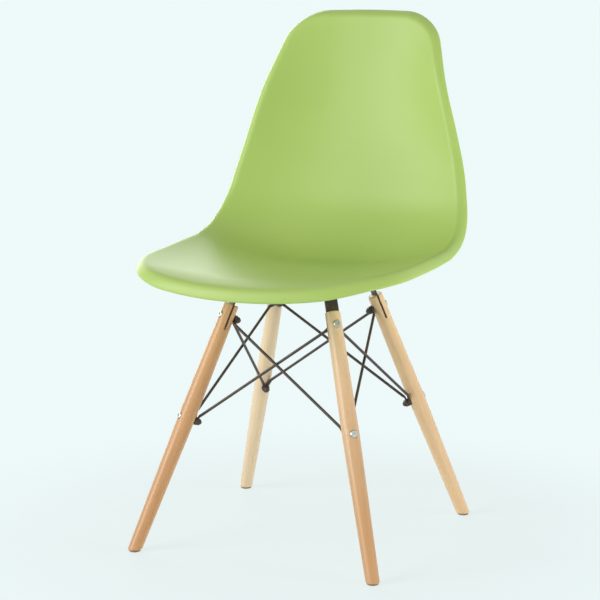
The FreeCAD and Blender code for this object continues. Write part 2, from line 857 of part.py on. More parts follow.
def brace(start, end):
    """Rod between two eyes."""
    start.aim(end)
    end.aim(start)
    way = unit(end.knee - start.knee)
    first = start.knee + way * knee_length
    last = end.knee - way * knee_length
    rod = Part.makeCylinder(rod_radius, (last - first).Length, first, way)
    pieces = start.flattened_end(way) + end.flattened_end(way * -1)
    return rod.fuse(pieces).cut([start.bolt_hole(), end.bolt_hole()]).removeSplitter()


def outer_brace(turn):
    """Rod that lies outside at the crossing, from the upper bolt of one leg to the lower bolt of the next."""
    return brace(Eye(upper_bolt_point, leg_radius(upper_bolt_below_top), turn, 0, outer_rod_upper_knee),
                 Eye(lower_bolt_point, leg_radius(lower_bolt_below_top), turn + 90, 0, outer_rod_lower_knee))


def inner_brace(turn):
    """Rod that lies inside at the crossing, from the lower bolt of one leg to the upper bolt of the next."""
    return brace(Eye(lower_bolt_point, leg_radius(lower_bolt_below_top), turn, 1, inner_rod_lower_knee),
                 Eye(upper_bolt_point, leg_radius(upper_bolt_below_top), turn + 90, 1, inner_rod_upper_knee))


# All the pieces, by name

def pieces():
    named = {
        "seat_shell": seat_shell(),
        "shell_inserts": around(shell_insert()),
        "seat_screws": around(seat_screw()),
        "seat_screw_washers": around(screw_washer()),
        "frame_bar_over": turned(frame_bar(False), corner_turns[1]),
        "frame_bar_joggled": turned(frame_bar(True), corner_turns[0]),
        "frame_crossing_welds": crossing_welds(),
        "upper_leg_bolts": around(leg_bolt(upper_bolt_point, leg_radius(upper_bolt_below_top))),
        "lower_leg_bolts": around(leg_bolt(lower_bolt_point, leg_radius(lower_bolt_below_top))),
        "upper_cap_nuts": around(cap_nut(upper_bolt_point, leg_radius(upper_bolt_below_top))),
        "lower_cap_nuts": around(cap_nut(lower_bolt_point, leg_radius(lower_bolt_below_top))),
        "glide_nails": around(glide_nail()),
    }
    one_leg, one_glide, one_spacer = leg(), foot_glide(), seat_spacer()
    for corner, turn in zip(corner_names, corner_turns):
        named["leg_" + corner] = turned(one_leg, turn)
        named["foot_glide_" + corner] = turned(one_glide, turn)
        named["seat_spacer_" + corner] = turned(one_spacer, turn)
    one_outer, one_inner = outer_brace(corner_turns[0]), inner_brace(corner_turns[0])
    for index, side in enumerate(side_names):
        named["brace_" + side + "_outer"] = turned(one_outer, 90 * index)
        named["brace_" + side + "_inner"] = turned(one_inner, 90 * index)
    return named


def main():
    """Write every piece, moved so that the chair's box is centred on the origin front to back."""
    os.makedirs("parts", exist_ok=True)
    named = pieces()
    boxes = [shape.optimalBoundingBox() for shape in named.values()]
    middle_y = (min(box.YMin for box in boxes) + max(box.YMax for box in boxes)) / 2
    for name, shape in named.items():
        shape.translate(Vector(0, -middle_y, 0))
        shape.exportStep(os.path.join("parts", name + ".step"))
    print(len(named), "pieces, moved by", round(-middle_y, 3), "mm front to back")


main()
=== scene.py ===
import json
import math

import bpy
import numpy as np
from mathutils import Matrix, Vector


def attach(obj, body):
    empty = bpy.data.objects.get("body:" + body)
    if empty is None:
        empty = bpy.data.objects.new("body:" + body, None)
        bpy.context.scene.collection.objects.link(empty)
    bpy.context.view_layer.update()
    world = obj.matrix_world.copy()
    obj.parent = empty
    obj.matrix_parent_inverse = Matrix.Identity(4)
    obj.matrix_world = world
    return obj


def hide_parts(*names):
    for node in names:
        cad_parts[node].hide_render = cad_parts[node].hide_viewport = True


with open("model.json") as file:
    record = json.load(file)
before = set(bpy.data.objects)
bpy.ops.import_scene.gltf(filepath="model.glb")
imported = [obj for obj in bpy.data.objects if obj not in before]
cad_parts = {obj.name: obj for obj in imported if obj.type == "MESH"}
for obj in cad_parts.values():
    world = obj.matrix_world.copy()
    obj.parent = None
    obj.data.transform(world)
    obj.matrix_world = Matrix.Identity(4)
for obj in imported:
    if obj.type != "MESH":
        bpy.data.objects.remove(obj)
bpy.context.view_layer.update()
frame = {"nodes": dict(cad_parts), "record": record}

# %% [markdown]
# # A moulded shell chair on beech legs
# The chair's frame, legs, rods and fasteners come with the loaded frame and keep their shapes. What is made
# here is the smooth plastic shell, with its rolled edge and rounded rim, the bosses under it, and every finish.
# Sizes are written in millimetres, as on a drawing, and turned into metres when a mesh is made.

MM = 0.001


# %% [markdown]
# ## The shell's side profile
# Seen from the side, the shell is a chain of arcs and straights: a lip that turns down, a nearly flat seat, a
# bend, and a back that is almost straight. A chain like this could be drawn as a free curve, but arcs keep the
# curvature even, and a point at any distance along it comes from a short sum.

# %% The side profile
START_Y, START_Z = -238.2, 428.9
RUNS = (57.7, 230.7, 173.2, 151.2, 151.2)
ANGLES = np.radians((13.2, -2.3, -2.3, 72.3, 78.6, 79.1))
LENGTH = sum(RUNS)
WALL = 5.0
CENTRING = -9.548


def profile(place):
    """Height, depth and slope of the middle line at a distance along it: the sum of its arcs up to there.
    An arc's chord is its length times the cosine or sine of its middle angle times sin(h)/h, h the half turn."""
    angle = np.full_like(place, ANGLES[0])
    y = np.full_like(place, START_Y)
    z = np.full_like(place, START_Z)
    done = 0.0
    for index, run in enumerate(RUNS):
        bend = (ANGLES[index + 1] - ANGLES[index]) / run
        low = -np.inf if index == 0 else 0.0
        high = np.inf if index == len(RUNS) - 1 else run
        step = np.clip(place - done, low, high)
        middle = angle + bend * step / 2
        chord = step * np.sinc(bend * step / 2 / np.pi)
        y = y + chord * np.cos(middle)
        z = z + chord * np.sin(middle)
        angle = angle + bend * step
        done += run
    return y, z, angle


print("profile length", round(LENGTH, 1))


# %% [markdown]
# ## Widths along the profile
# The shell is widest at the hips and narrows to the top, and its sides rise above the middle, which makes the
# bowl. Both are given at a few places and joined by a smooth curve. Plain cubics could swing past their points and
# leave waves in the edge, so the slopes are held back here.

# %% Half width and side rise
def smooth_through(stations):
    """A function that runs through (place, value) pairs by cubics whose end slopes never overshoot."""
    x, v = np.array(stations, float).T
    gap = np.diff(x)
    slope = np.diff(v) / gap
    left, right = slope[:-1], slope[1:]
    heavy_left, heavy_right = 2 * gap[1:] + gap[:-1], gap[1:] + 2 * gap[:-1]
    rising = left * right > 0
    safe_left, safe_right = np.where(rising, left, 1), np.where(rising, right, 1)
    inner = (heavy_left + heavy_right) / (heavy_left / safe_left + heavy_right / safe_right)
    tangent = np.concatenate(([slope[0]], np.where(rising, inner, 0), [slope[-1]]))

    def value(place):
        i = np.clip(np.searchsorted(x, place) - 1, 0, len(gap) - 1)
        t = (place - x[i]) / gap[i]
        return (v[i] + (v[i + 1] - v[i]) * (3 - 2 * t) * t * t
                + gap[i] * tangent[i] * t * (1 - t) ** 2 - gap[i] * tangent[i + 1] * (1 - t) * t * t)

    return value


FRONT_CORNER, TOP_RUN, BEYOND = 141.5, 35.3, 60
TOP_CORNER = LENGTH - TOP_RUN
HIP = RUNS[0] + RUNS[1] + 0.46 * RUNS[2]
UPPER = TOP_CORNER - HIP
FRONT = HIP - FRONT_CORNER
SHOULDER = HIP + 0.78 * UPPER
SHOULDER_WIDTH, TOP_WIDTH = 154.3, 130.7
FRONT_RISE, TOP_RISE = 22.6, 18.5
TAPER = (SHOULDER_WIDTH - TOP_WIDTH) / (TOP_CORNER - SHOULDER)

half_width = smooth_through((
    (-80, 215.3), (FRONT_CORNER, 219.3), (FRONT_CORNER + FRONT / 2, 224.2), (HIP, 220.0),
    (HIP + 0.30 * UPPER, 203.5), (HIP + 0.55 * UPPER, 179.9), (SHOULDER, SHOULDER_WIDTH),
    (TOP_CORNER, TOP_WIDTH), (LENGTH + BEYOND, TOP_WIDTH - TAPER * (TOP_RUN + BEYOND))))
side_rise = smooth_through((
    (-BEYOND, FRONT_RISE * 0.6), (FRONT_CORNER, FRONT_RISE), (FRONT_CORNER + 0.6 * FRONT, 35.0),
    (FRONT_CORNER + 0.8 * FRONT, 39.7), (HIP, 38.0), (HIP + 0.35 * UPPER, 34.9), (HIP + 0.70 * UPPER, 45.4),
    (LENGTH, TOP_RISE), (LENGTH + BEYOND, TOP_RISE)))
print("widest half", round(float(half_width(np.linspace(0, LENGTH, 99)).max()), 1))


# %% [markdown]
# ## The shell's sheet
# The sitting side is the profile swept from side to side, rising towards the edges. It could be modelled from a
# subdivided cage, but a formula gives a point anywhere on it, and its square direction too, which the wall and the
# rolled edge need.

# %% The sheet and its directions
EDGE_POWER = 2.34


def sheet(place, x):
    """Point on the sitting side: out of the profile by the side rise times a power of x over the half width."""
    y, z, angle = profile(place)
    rise = side_rise(place) * np.abs(x / half_width(place)) ** EDGE_POWER
    return np.stack((x, y - np.sin(angle) * rise, z + np.cos(angle) * rise), axis=-1)


def normal(place, x, step=0.5):
    """Unit direction square to the sheet, from the cross product of two short chords."""
    across = sheet(place, x + step) - sheet(place, x - step)
    along = sheet(place + step, x) - sheet(place - step, x)
    square = np.cross(across, along)
    return square / np.linalg.norm(square, axis=-1, keepdims=True)


def fall(place):
    """Direction square to the profile and away from the sitter, in which the edge rolls down."""
    angle = profile(place)[2]
    return np.stack((0 * angle, np.sin(angle), -np.cos(angle)), axis=-1)


print("front of the seat", sheet(np.array([FRONT_CORNER]), np.zeros(1))[0].round(1))


# %% [markdown]
# ## The shell's outline
# The outline is drawn on the developed sheet, as a cutter would draw it on flat stock: crowned ends, elliptical
# corners and long sides. Drawing it flat keeps the corners round however the sheet bends.

# %% The closed outline
ROLL_WIDTH, ROLL_DROP, ROLL_LEAD = 12.2, 17.3, 7.3
# Length, width and sweep in degrees of each end's corner ellipses.
FRONT_END, TOP_END = (141.5, 117.9, 78.8), (58, 60, 86)


def end_outline(length, width, sweep, at_top):
    """Half of one end of the outline: a crowned edge from the middle, then a quarter of an ellipse."""
    length, width, sweep = length - ROLL_WIDTH, width - ROLL_WIDTH, math.radians(sweep)
    to_place = (lambda d: LENGTH - ROLL_WIDTH - d) if at_top else (lambda d: ROLL_WIDTH + d)
    angle = np.linspace(sweep, 0, 400)
    corner_place = to_place(length * (1 - np.sin(angle) / math.sin(sweep)))
    corner_x = half_width(corner_place) - ROLL_WIDTH - width * (1 - np.cos(angle))
    share = np.linspace(0, 1, 200, endpoint=False)
    crown = length / width * corner_x[0] / (2 * math.tan(sweep))
    edge_place = to_place(-crown * (1 - share * share))
    return np.concatenate((edge_place, corner_place)), np.concatenate((share * corner_x[0], corner_x))


def outline(count):
    """The whole outline as evenly spaced points, with the direction that points out of it at each."""
    front_place, front_x = end_outline(*FRONT_END, False)
    top_place, top_x = end_outline(*TOP_END, True)
    side_place = np.linspace(front_place[-1], top_place[-1], 1500)[1:-1]
    place = np.concatenate((front_place, side_place, top_place[::-1]))
    x = np.concatenate((front_x, half_width(side_place) - ROLL_WIDTH, top_x[::-1]))
    place = np.concatenate((place, place[-2:0:-1]))
    x = np.concatenate((x, -x[-2:0:-1]))
    loop = np.stack((np.append(place, place[0]), np.append(x, x[0])), axis=-1)
    walked = np.concatenate(([0], np.cumsum(np.linalg.norm(np.diff(loop, axis=0), axis=-1))))
    even = np.arange(count) / count * walked[-1]
    points = np.stack([np.interp(even, walked, loop[:, k]) for k in (0, 1)], axis=-1)
    ahead = np.roll(points, -1, axis=0) - np.roll(points, 1, axis=0)
    out = np.stack((-ahead[:, 1], ahead[:, 0]), axis=-1)
    return points, out / np.linalg.norm(out, axis=-1, keepdims=True)


loop, outward = outline(480)
print("outline points", len(loop), "round the edge", round(float(np.linalg.norm(np.diff(loop, axis=0), axis=1).sum())))


# %% [markdown]
# ## The shell as one closed surface
# The wall is built as rings: from a point in the seat out to the edge, down round the roll, over a rounded rim,
# and back along the underside. One grid of rings has no seam where smooth shading could break. The real edge turns
# down softly, so the roll starts a little inside the outline and bends more and more towards the rim.

# %% Rings of the shell
SEAT_POLE, ARM_REACH = 0.42 * LENGTH, 0.75
RIM_TOP, RIM_UNDER = 0.95, 0.94


def rolled(share, under):
    """Ring on the rolled edge: from a lead inside the outline out by the share of the way to the rim, and down by
    the share's cube times the drop. A cube starts with no bend at all, so light runs over it without a line."""
    slope = math.atan2(3 * ROLL_DROP, ROLL_LEAD + ROLL_WIDTH)
    reach = ROLL_LEAD + ROLL_WIDTH - (WALL * math.sin(slope) if under else 0)
    drop = ROLL_DROP - (WALL * (1 - math.cos(slope)) if under else 0)
    place, x = (loop + outward * (reach * share - ROLL_LEAD)).T
    base = sheet(place, x) - (normal(place, x) * WALL if under else 0)
    return base + fall(loop[:, 0]) * drop * share ** 3


def flat_ring(share, under):
    """Ring inside the roll: its first ring shrunk towards a point in the middle of the seat."""
    centre = np.array((SEAT_POLE, 0.0))
    place, x = (centre + (loop - outward * ROLL_LEAD - centre) * share).T
    return sheet(place, x) - (normal(place, x) * WALL if under else 0)


def rim_rings(end_top, end_under, count):
    """Rings over the rim: a cubic from the upper side to the underside whose arms run on along the roll. Such a
    curve gets three quarters of the way to the tips of its arms, so they are longer by that much."""
    first, last = rolled(end_top, False), rolled(end_under, True)
    arm = (rolled(1, False) - first) / ARM_REACH, (rolled(1, True) - last) / ARM_REACH
    for t in np.linspace(0, 1, count + 2)[1:-1]:
        yield ((1 - t) ** 3 * first + 3 * (1 - t) ** 2 * t * (first + arm[0])
               + 3 * (1 - t) * t * t * (last + arm[1]) + t ** 3 * last)


print("rim thickness", np.linalg.norm(rolled(1, False) - rolled(1, True), axis=-1).mean().round(1))


# %% [markdown]
# ## From rings to a mesh
# Each ring has as many points as the outline, so neighbours join by quads, and a fan closes each end. The new
# piece rides on the chair's one body and stands for the loaded seat shell.

# %% The shell
def ring_mesh(name, rings, first_pole, last_pole):
    """Mesh of stacked rings, each joined to the next by quads and closed by a fan at both ends."""
    rings = np.array(rings)
    rows, count = rings.shape[:2]
    points = np.concatenate(([first_pole], rings.reshape(-1, 3), [last_pole]))
    points = (points + (0, CENTRING, 0)) * MM
    index = 1 + np.arange(rows * count).reshape(rows, count)
    ahead = np.roll(index, -1, axis=1)
    quads = np.stack((index[:-1], index[1:], ahead[1:], ahead[:-1]), axis=-1).reshape(-1, 4)
    fans = [np.stack((index[0], ahead[0], np.zeros(count, int)), axis=-1),
            np.stack((ahead[-1], index[-1], np.full(count, len(points) - 1)), axis=-1)]
    mesh = bpy.data.meshes.new(name)
    mesh.from_pydata(points, [], quads.tolist() + np.concatenate(fans).tolist())
    mesh.polygons.foreach_set("use_smooth", np.ones(len(mesh.polygons), bool))
    mesh.validate()
    return mesh


upper = [flat_ring(share, False) for share in np.linspace(0, 1, 44)[1:]]
upper += [rolled(share, False) for share in np.linspace(0, RIM_TOP, 18)[1:]]
lower = [rolled(share, True) for share in np.linspace(RIM_UNDER, 0, 16)[:-1]]
lower += [flat_ring(share, True) for share in np.linspace(1, 0, 44)[:-1]]
poles = [flat_ring(0, under)[0] for under in (False, True)]
shell_mesh = ring_mesh("shell", upper + list(rim_rings(RIM_TOP, RIM_UNDER, 7)) + lower, *poles)
shell = bpy.data.objects.new("shell", shell_mesh)
bpy.context.collection.objects.link(shell)
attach(shell, "root")
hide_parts("seat_shell")
print("shell faces", len(shell_mesh.polygons))


# %% [markdown]
# ## Bosses under the shell
# Four ribbed posts are moulded under the seat, each with a blind hole for a threaded insert. A post is a profile
# turned about its axis, and its ribs are thin plates that taper towards the seat. They could be joined to the
# shell with a boolean, but pieces that simply run into the wall look the same and keep clean grids.

# %% Posts and ribs
BOSS_BOTTOM, BOSS_RADIUS, HOLE_RADIUS, HOLE_DEPTH = 406.0, 12.0, 4.5, 13.0
RIB_REACH, RIB_THICKNESS, SCREW_CIRCLE = 26.0, 3.0, 78.0
OVER_BOSSES = np.linspace(40, 330, 600)


def underside_z(x, y):
    """Height of the underside over a point of the floor, read off a dense line of sheet points at that x."""
    across = np.full_like(OVER_BOSSES, x)
    line = sheet(OVER_BOSSES, across) - normal(OVER_BOSSES, across) * WALL
    return float(np.interp(y, line[:, 1], line[:, 2]))


def turned_post(x, y, steps=48):
    """Points of a post, rings by steps: its outline of radii and heights, carried round the axis."""
    top = underside_z(x, y) + WALL / 2
    outline_rz = np.array(((0.01, BOSS_BOTTOM + HOLE_DEPTH), (HOLE_RADIUS, BOSS_BOTTOM + HOLE_DEPTH),
                           (HOLE_RADIUS, BOSS_BOTTOM + 0.4), (HOLE_RADIUS + 0.4, BOSS_BOTTOM),
                           (BOSS_RADIUS - 0.5, BOSS_BOTTOM), (BOSS_RADIUS, BOSS_BOTTOM + 0.5),
                           (BOSS_RADIUS, top), (0.01, top)))
    turn = np.arange(steps) / steps * 2 * np.pi
    radius, height = outline_rz[:, :1], outline_rz[:, 1:]
    return np.stack((x + radius * np.cos(turn), y + radius * np.sin(turn), height + 0 * turn), axis=-1)


def rib_corners(x, y, turn):
    """Eight corners of a rib: a four-sided plate from the post outwards, as thick as the ribs are."""
    way = np.array((math.cos(turn), math.sin(turn)))
    side = np.array((-way[1], way[0])) * RIB_THICKNESS / 2
    inner, outer = (np.array((x, y)) + way * reach for reach in (BOSS_RADIUS - RIB_THICKNESS, RIB_REACH))
    high_in, high_out = (underside_z(*point) + WALL / 2 for point in (inner, outer))
    plan = np.array((inner, outer, outer, inner))
    height = np.array((BOSS_BOTTOM + RIB_THICKNESS, high_out - WALL, high_out, high_in))
    return np.concatenate([np.column_stack((plan + s, height)) for s in (-side, side)])


print("underside over a boss", round(underside_z(SCREW_CIRCLE * math.sqrt(0.5), SCREW_CIRCLE * math.sqrt(0.5)), 1))


# %% [markdown]
# ## Four bosses as one piece
# The four posts stand on a circle round the middle of the frame, each with four ribs in a cross. They were moulded
# with the shell, so they are one piece of the same plastic.

# %% The bosses
def boss_mesh():
    """All the posts and ribs as one mesh: ring grids and six-sided plates."""
    points, faces = [], []
    box_faces = np.array(((0, 1, 2, 3), (7, 6, 5, 4), (0, 4, 5, 1), (1, 5, 6, 2), (2, 6, 7, 3), (3, 7, 4, 0)))
    start = 0
    for corner in range(4):
        arm = math.radians(45 + 90 * corner)
        x, y = SCREW_CIRCLE * math.cos(arm), SCREW_CIRCLE * math.sin(arm)
        post = turned_post(x, y)
        rows, steps = post.shape[:2]
        index = start + np.arange(rows * steps).reshape(rows, steps)
        ahead = np.roll(index, -1, axis=1)
        faces += np.stack((index[:-1], index[1:], ahead[1:], ahead[:-1]), axis=-1).reshape(-1, 4).tolist()
        faces += [index[0].tolist(), index[-1][::-1].tolist()]
        points.append(post.reshape(-1, 3))
        start += rows * steps
        for quarter in range(4):
            points.append(rib_corners(x, y, math.pi / 2 * quarter))
            faces += (box_faces + start).tolist()
            start += 8
    mesh = bpy.data.meshes.new("shell_bosses")
    mesh.from_pydata(((np.concatenate(points) + (0, CENTRING, 0)) * MM).tolist(), [], faces)
    mesh.polygons.foreach_set("use_smooth", np.ones(len(mesh.polygons), bool))
    mesh.set_sharp_from_angle(angle=math.radians(30))
    return mesh


bosses = bpy.data.objects.new("shell_bosses", boss_mesh())
bpy.context.collection.objects.link(bosses)
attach(bosses, "root")
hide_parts("seat_shell")
print("boss faces", len(bosses.data.polygons))


# %% [markdown]
# ## Writing finishes as sums
# A finish is a small web of nodes. Written out node by node it is hard to read, so one class wraps a socket and
# lets the usual signs add Math nodes.

# %% A value that can be added and multiplied
class Value:
    """A number that changes over a surface. +, - and * make a new one by a Math node."""

    def __init__(self, finish, socket):
        self.finish, self.socket = finish, socket

    def math(self, operation, first, second):
        return self.finish.node("ShaderNodeMath", {"operation": operation}, first, second)

    def __add__(self, other):
        return self.math("ADD", self, other)

    def __sub__(self, other):
        return self.math("SUBTRACT", self, other)

    def __rsub__(self, other):
        return self.math("SUBTRACT", other, self)

    def __mul__(self, other):
        return self.math("MULTIPLY", self, other)

    __radd__, __rmul__ = __add__, __mul__


# %% [markdown]
# ## The web of a finish
# A second class holds the web itself. One method adds any node with its settings and values, and a few short ones
# name the nodes that come back in every finish: noise, a ramp of colours, a turned or stretched pattern, a bump.

# %% A finish and its nodes
class Finish:
    """The web of nodes of a material or world in the making, with the piece's own coordinates at hand."""

    def __init__(self, owner):
        owner.use_nodes = True
        owner.node_tree.nodes.clear()
        self.owner, self.tree = owner, owner.node_tree
        self.coordinates = self.node("ShaderNodeTexCoord", {}, out="Object")

    def node(self, kind, settings, *values, out=0, **named):
        """Adds a node: settings first, a ramp's stops among them, then its values or links in order or by name."""
        node = self.tree.nodes.new(kind)
        for key, value in settings.items():
            if key == "stops":
                self.set_stops(node.color_ramp, value)
            else:
                setattr(node, key, value)
        places = [(place, value) for place, value in enumerate(values) if value is not None]
        places += [(key.replace("_", " "), value) for key, value in named.items()]
        for place, value in places:
            if isinstance(value, Value):
                self.tree.links.new(value.socket, node.inputs[place])
            else:
                node.inputs[place].default_value = value
        return None if out is None else Value(self, node.outputs[out])

    def set_stops(self, ramp, stops):
        while len(ramp.elements) < len(stops):
            ramp.elements.new(0.5)
        for element, (position, colour) in zip(ramp.elements, stops):
            element.position, element.color = position, (*colour, 1)

    def noise(self, scale, detail=2.0, roughness=0.5, at=None, distortion=0.0):
        return self.node("ShaderNodeTexNoise", {}, Vector=at or self.coordinates, Scale=scale, Detail=detail,
                         Roughness=roughness, Distortion=distortion, out="Fac")

    def mapped(self, vector, location=(0, 0, 0), rotation=(0, 0, 0), scale=(1, 1, 1)):
        return self.node("ShaderNodeMapping", {}, Vector=vector, Location=location, Rotation=rotation, Scale=scale)

    def ramp(self, value, *stops):
        return self.node("ShaderNodeValToRGB", {"stops": stops}, value)

    def mixed(self, share, first, second):
        """Colour between two. A Mix node's colour sockets come after its five for numbers and vectors."""
        return self.node("ShaderNodeMix", {"data_type": "RGBA"}, share, *[None] * 5, first, second, out=2)

    def bump(self, height, strength, distance):
        return self.node("ShaderNodeBump", {}, Height=height, Strength=strength, Distance=distance)

    def end(self, shader, kind="ShaderNodeOutputMaterial"):
        self.node(kind, {}, shader, out=None)
        return self.owner

    def surface(self, **sockets):
        """Ends the web with a principled shader and returns the material."""
        return self.end(self.node("ShaderNodeBsdfPrincipled", {}, **sockets))


def colour(red, green, blue):
    """Linear colour of an 8-bit screen colour."""
    screen = np.array((red, green, blue)) / 255
    linear = np.where(screen <= 0.04045, screen / 12.92, ((screen + 0.055) / 1.055) ** 2.4)
    return tuple(linear.round(4).tolist())


def dress(piece, material):
    """Gives a piece one material in place of what it had."""
    piece.data.materials.clear()
    piece.data.materials.append(material)


print("a screen grey of 128 is", colour(128, 128, 128)[0], "in linear light")


# %% [markdown]
# ## Moulded plastic
# The shell is polypropylene coloured right through. Its skin is satin, with a very fine even grain from the
# mould, and the colour drifts a little from place to place. Noise on a broad scale carries the drift, and fine
# noise goes to the bump, where it softens the highlights without showing as spots.

# %% The shell's finish
def moulded_plastic():
    finish = Finish(bpy.data.materials.new("green_plastic"))
    drift = finish.noise(5, detail=1)
    tint = finish.ramp(drift, (0.3, colour(172, 200, 100)), (0.7, colour(179, 206, 107)))
    grain = finish.noise(1400, detail=1)
    pores = finish.noise(260, detail=3)
    bump = finish.bump(grain * 0.7 + pores * 0.3, 0.06, 0.0004)
    return finish.surface(Base_Color=tint, Roughness=0.42 + pores * 0.08, Normal=bump, IOR=1.49)


plastic = moulded_plastic()
for piece in (shell, bosses):
    dress(piece, plastic)
print(plastic.name, "nodes", len(plastic.node_tree.nodes))


# %% [markdown]
# ## Turned beech
# A leg is cut from straight-grained beech, so its grain runs along it and shows as long streaks, with the short
# dark flecks that beech has. Each leg leans its own way, so each has its own Mapping nodes that first swing the
# leg upright. Streaks are then noise stretched along the leg, and its height mixes the tones of foot and top.
# These tones are painted light and shade: each leg's tone stands in for how the lamps fall on it.

# %% Wood for each leg
LEG_TILT = math.radians(23.2)
# Turn of each leg about the upright axis, and its tones at the foot and at the top. The tones are painted light: the
# rear legs are paler where lamps would light them, and the front right leg has painted shade, darker towards its foot.
LEGS = {"front_right": (-45, (208, 157, 106), (234, 200, 160)), "rear_right": (45, (235, 196, 150), (235, 196, 150)),
        "rear_left": (135, (238, 210, 174), (238, 210, 174)), "front_left": (225, (210, 155, 103), (214, 162, 112))}
# Where the grain turns darker and paler than the tone, and by how much.
GRAIN_LIGHT = ((0.32, 0.86), (0.5, 1.0), (0.68, 1.10))


def beech(corner, turn, *painted_light_tones):
    finish = Finish(bpy.data.materials.new("beech_" + corner))
    # A turn about Z brings the leg's lean into the XZ plane, and a turn about Y stands it up.
    flat = finish.mapped(finish.coordinates, rotation=(0, 0, -math.radians(turn)))
    upright = finish.mapped(flat, rotation=(0, LEG_TILT, 0))

    def stretched(scale):
        return finish.mapped(upright, location=(turn * 0.01, 0, 0), scale=(1, 1, scale))

    def toned(tone):
        lights = ((place, tuple(c * light for c in colour(*tone))) for place, light in GRAIN_LIGHT)
        return finish.ramp(grain - flecks * 0.08, *lights)

    broad = finish.noise(60, detail=2, at=stretched(0.05))
    streak = finish.noise(420, detail=4, roughness=0.6, at=stretched(0.03), distortion=0.3)
    fleck = finish.noise(1500, detail=1, at=stretched(0.12))
    flecks = finish.node("ShaderNodeMapRange", {"clamp": True}, Value=fleck, From_Min=0.62, From_Max=0.72)
    grain = broad * 0.5 + streak * 0.5
    # The height mixes the foot and top tones. On the front right leg this paints shade that darkens towards the foot.
    height = finish.node("ShaderNodeSeparateXYZ", {}, upright, out="Z")
    share = finish.node("ShaderNodeMapRange", {"clamp": True}, Value=height, From_Min=-0.02, From_Max=0.29)
    wood = finish.mixed(share, *(toned(tone) for tone in painted_light_tones))
    bump = finish.bump(streak - flecks * 0.5, 0.12, 0.0003)
    return finish.surface(Base_Color=wood, Roughness=0.42 + streak * 0.12, Normal=bump, IOR=1.5, Coat_Weight=0.35,
                          Coat_Roughness=0.22, Sheen_Weight=0.5, Sheen_Roughness=0.35)


# Each leg gets its own painted light and shade through its foot and top tones.
for corner, (turn, *painted_light_tones) in LEGS.items():
    dress(frame["nodes"]["leg_" + corner], beech(corner, turn, *painted_light_tones))
print("legs dressed", len(LEGS))


# %% [markdown]
# ## Coated steel, plated steel and brass
# The bars and rods wear a dark brown-black coat that is slightly uneven, like orange peel. The bolts are plated
# and pale, and the inserts are brass. These are small pieces, so one broad noise and one fine noise are enough.

# %% Finishes of the metal pieces
def coated_steel():
    finish = Finish(bpy.data.materials.new("dark_coat"))
    wear = finish.noise(90, detail=3)
    peel = finish.noise(1100, detail=2)
    tint = finish.ramp(wear, (0.35, colour(66, 54, 50)), (0.7, colour(84, 71, 66)))
    bump = finish.bump(peel, 0.15, 0.0002)
    return finish.surface(Base_Color=tint, Roughness=0.38 + wear * 0.14, Metallic=0.25, Normal=bump)


def plated_steel():
    finish = Finish(bpy.data.materials.new("pale_plating"))
    haze = finish.noise(400, detail=3)
    tint = finish.ramp(haze, (0.3, colour(196, 192, 184)), (0.7, colour(224, 221, 214)))
    bump = finish.bump(finish.noise(2500, detail=2), 0.1, 0.0001)
    return finish.surface(Base_Color=tint, Roughness=0.26 + haze * 0.16, Metallic=1.0, Normal=bump)


def brass():
    finish = Finish(bpy.data.materials.new("brass"))
    haze = finish.noise(500, detail=3)
    tint = finish.ramp(haze, (0.3, colour(196, 158, 88)), (0.7, colour(218, 184, 112)))
    return finish.surface(Base_Color=tint, Roughness=0.28 + haze * 0.2, Metallic=1.0)


# %% [markdown]
# ## Rubber and nylon
# The spacers are black rubber and a little dusty, and the glides are brown nylon. Both are dull, so the colour
# and the roughness vary only a little. Each loaded piece then gets the finish that its record names.

# %% Finishes of the small pieces
def rubber():
    finish = Finish(bpy.data.materials.new("black_rubber"))
    dust = finish.noise(300, detail=4)
    tint = finish.ramp(dust, (0.3, colour(30, 30, 31)), (0.75, colour(48, 47, 47)))
    bump = finish.bump(dust, 0.2, 0.0002)
    return finish.surface(Base_Color=tint, Roughness=0.72 + dust * 0.15, Normal=bump)


def nylon():
    finish = Finish(bpy.data.materials.new("dark_nylon"))
    cloud = finish.noise(200, detail=2)
    tint = finish.ramp(cloud, (0.3, colour(138, 112, 88)), (0.7, colour(156, 128, 102)))
    bump = finish.bump(finish.noise(1800, detail=1), 0.1, 0.0001)
    return finish.surface(Base_Color=tint, Roughness=0.45 + cloud * 0.12, Normal=bump)


made = {"dark_steel": coated_steel(), "bright_steel": plated_steel(), "brass": brass(),
        "black_rubber": rubber(), "dark_nylon": nylon(), "green_shell": plastic}
for part in frame["record"]["subparts"]:
    if part["material_slot"] in made:
        dress(frame["nodes"][part["node"]], made[part["material_slot"]])
print("finishes", sorted(made))


# %% [markdown]
# ## Floor and world
# The chair stands on a pale seamless floor. A large plane would show a line where it ends, so the floor fades, a
# step away from the feet, into the same colour as the world behind it, and only keeps the soft shadow. To other
# rays the floor is plain and pale, and the world is an even white light.

# %% Floor and world
BACKGROUND = (*colour(238, 249, 249), 1)
FADE_START, FADE_END = 0.30, 0.75
GLOW_NEAR, GLOW_GAIN = 0.78, 0.22
ROOM_STRENGTH = 0.28


def shown(finish):
    """1 for what the camera sees, also in a gloss, and 0 for plain lighting."""
    rays = [finish.node("ShaderNodeLightPath", {}, out=name) for name in ("Is Camera Ray", "Is Glossy Ray")]
    return finish.node("ShaderNodeMath", {"operation": "MAXIMUM"}, *rays)


